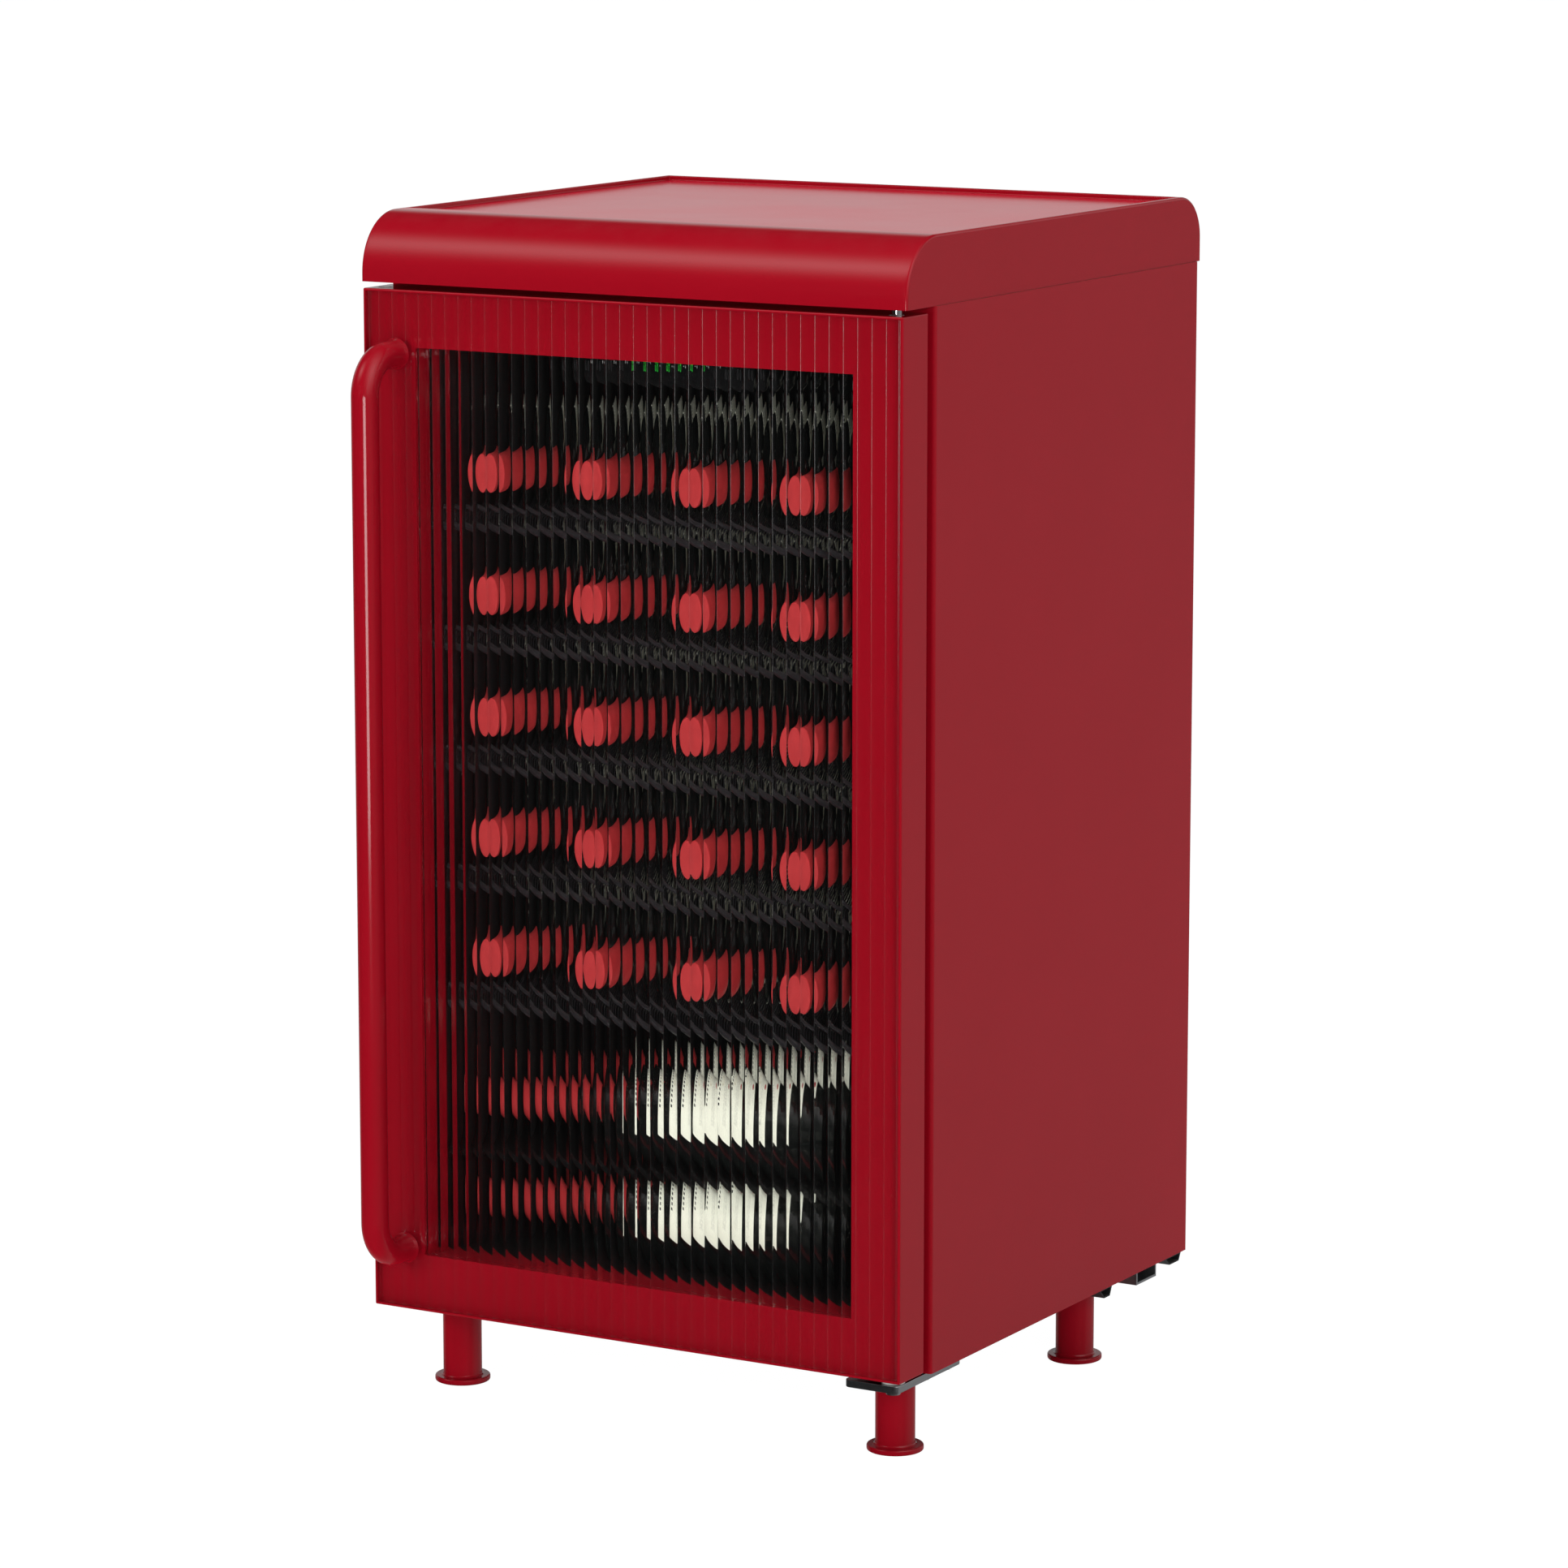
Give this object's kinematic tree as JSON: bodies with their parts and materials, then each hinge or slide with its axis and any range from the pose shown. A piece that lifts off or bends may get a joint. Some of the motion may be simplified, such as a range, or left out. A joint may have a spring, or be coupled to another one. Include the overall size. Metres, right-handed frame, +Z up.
{
  "type": "wine cooler",
  "caption": "Free-standing red retro wine cooler with a fluted glass door, tube handle, rolled top cover, turned legs and racked bottles.",
  "frame": {"origin": "middle of the overall box, on the floor under the legs", "axes": "+X to the right as seen from the door, +Y from the door to the back, +Z up"},
  "size_m": [0.486, 0.547, 0.946],
  "materials": {
    "red_enamel": "gloss",
    "zinc_steel": "satin",
    "black_paint": "satin",
    "grey_paint": "satin",
    "foam": "matte",
    "black_liner": "satin",
    "black_plastic": "gloss",
    "hinge_chrome": "polished",
    "screw_steel": "satin",
    "shelf_wire": "satin",
    "bottle_glass": "gloss",
    "capsule_foil": "satin",
    "label_paper": "matte",
    "display_lens": "gloss",
    "display_green": "gloss",
    "button_plastic": "satin",
    "lamp_diffuser": "satin",
    "evaporator_aluminium": "satin",
    "motor_plastic": "satin",
    "fan_plastic": "satin",
    "rubber": "matte",
    "copper_tube": "satin",
    "door_glass": "polished",
    "gasket_rubber": "matte",
    "bush_plastic": "satin"
  },
  "bodies": {
    "cabinet": {"side_panel_left": "red_enamel", "side_panel_right": "red_enamel", "front_rails": "red_enamel", "base_pan": "zinc_steel", "back_panel": "grey_paint", "insulation": "foam", "inner_liner": "black_liner", "top_cover": "red_enamel", "upper_hinge_plate": "zinc_steel", "upper_hinge_pin": "hinge_chrome", "lower_hinge_bracket": "hinge_chrome", "lower_hinge_pin": "hinge_chrome", "hinge_screws": "screw_steel", "panel_screws": "screw_steel", "leg_front_left": "red_enamel", "leg_front_right": "red_enamel", "leg_rear_left": "red_enamel", "leg_rear_right": "red_enamel", "shelf_1": "shelf_wire", "shelf_2": "shelf_wire", "shelf_3": "shelf_wire", "shelf_4": "shelf_wire", "shelf_5": "shelf_wire", "bottles_row_1": "bottle_glass", "bottles_row_2": "bottle_glass", "bottles_row_3": "bottle_glass", "bottles_row_4": "bottle_glass", "bottles_row_5": "bottle_glass", "lower_shelf": "black_plastic", "lying_bottles": "bottle_glass", "bottle_capsules": "capsule_foil", "bottle_labels": "label_paper", "control_box": "black_plastic", "display_window": "display_lens", "display_digits": "display_green", "interior_lamp": "lamp_diffuser", "evaporator_cover": "black_liner", "evaporator_plate": "evaporator_aluminium", "fan_motor": "motor_plastic", "compressor": "black_paint", "compressor_plate": "black_paint", "compressor_mounts": "rubber", "terminal_box": "motor_plastic", "refrigerant_tubes": "copper_tube", "rear_skid": "zinc_steel", "rear_grille": "black_paint", "cable_gland": "motor_plastic"},
    "door": {"door_frame": "red_enamel", "fluted_glass": "door_glass", "glass_spacer": "black_liner", "inner_pane": "door_glass", "door_gasket": "gasket_rubber", "handle": "red_enamel", "handle_screws": "screw_steel", "door_bushes": "bush_plastic"},
    "fan": {"fan_rotor": "fan_plastic"},
    "button_power": {"button_power": "button_plastic"},
    "button_light": {"button_light": "button_plastic"},
    "button_down": {"button_down": "button_plastic"},
    "button_up": {"button_up": "button_plastic"}
  },
  "joints": [
    {"name": "door_hinge", "type": "hinge", "parent": "cabinet", "child": "door", "pos_m": [0.2275, -0.207, 0.48], "axis": [0, 0, 1], "range_deg": [0, 115]},
    {"name": "fan_spin", "type": "hinge", "parent": "cabinet", "child": "fan", "pos_m": [0, 0.191, 0.755], "axis": [0, 1, 0], "continuous": true},
    {"name": "button_power_push", "type": "slide", "parent": "cabinet", "child": "button_power", "axis": [0, 1, 0], "range_m": [0, 0.0008], "stiffness_N_per_m": 400},
    {"name": "button_light_push", "type": "slide", "parent": "cabinet", "child": "button_light", "axis": [0, 1, 0], "range_m": [0, 0.0008], "stiffness_N_per_m": 400},
    {"name": "button_down_push", "type": "slide", "parent": "cabinet", "child": "button_down", "axis": [0, 1, 0], "range_m": [0, 0.0008], "stiffness_N_per_m": 400},
    {"name": "button_up_push", "type": "slide", "parent": "cabinet", "child": "button_up", "axis": [0, 1, 0], "range_m": [0, 0.0008], "stiffness_N_per_m": 400}
  ]
}
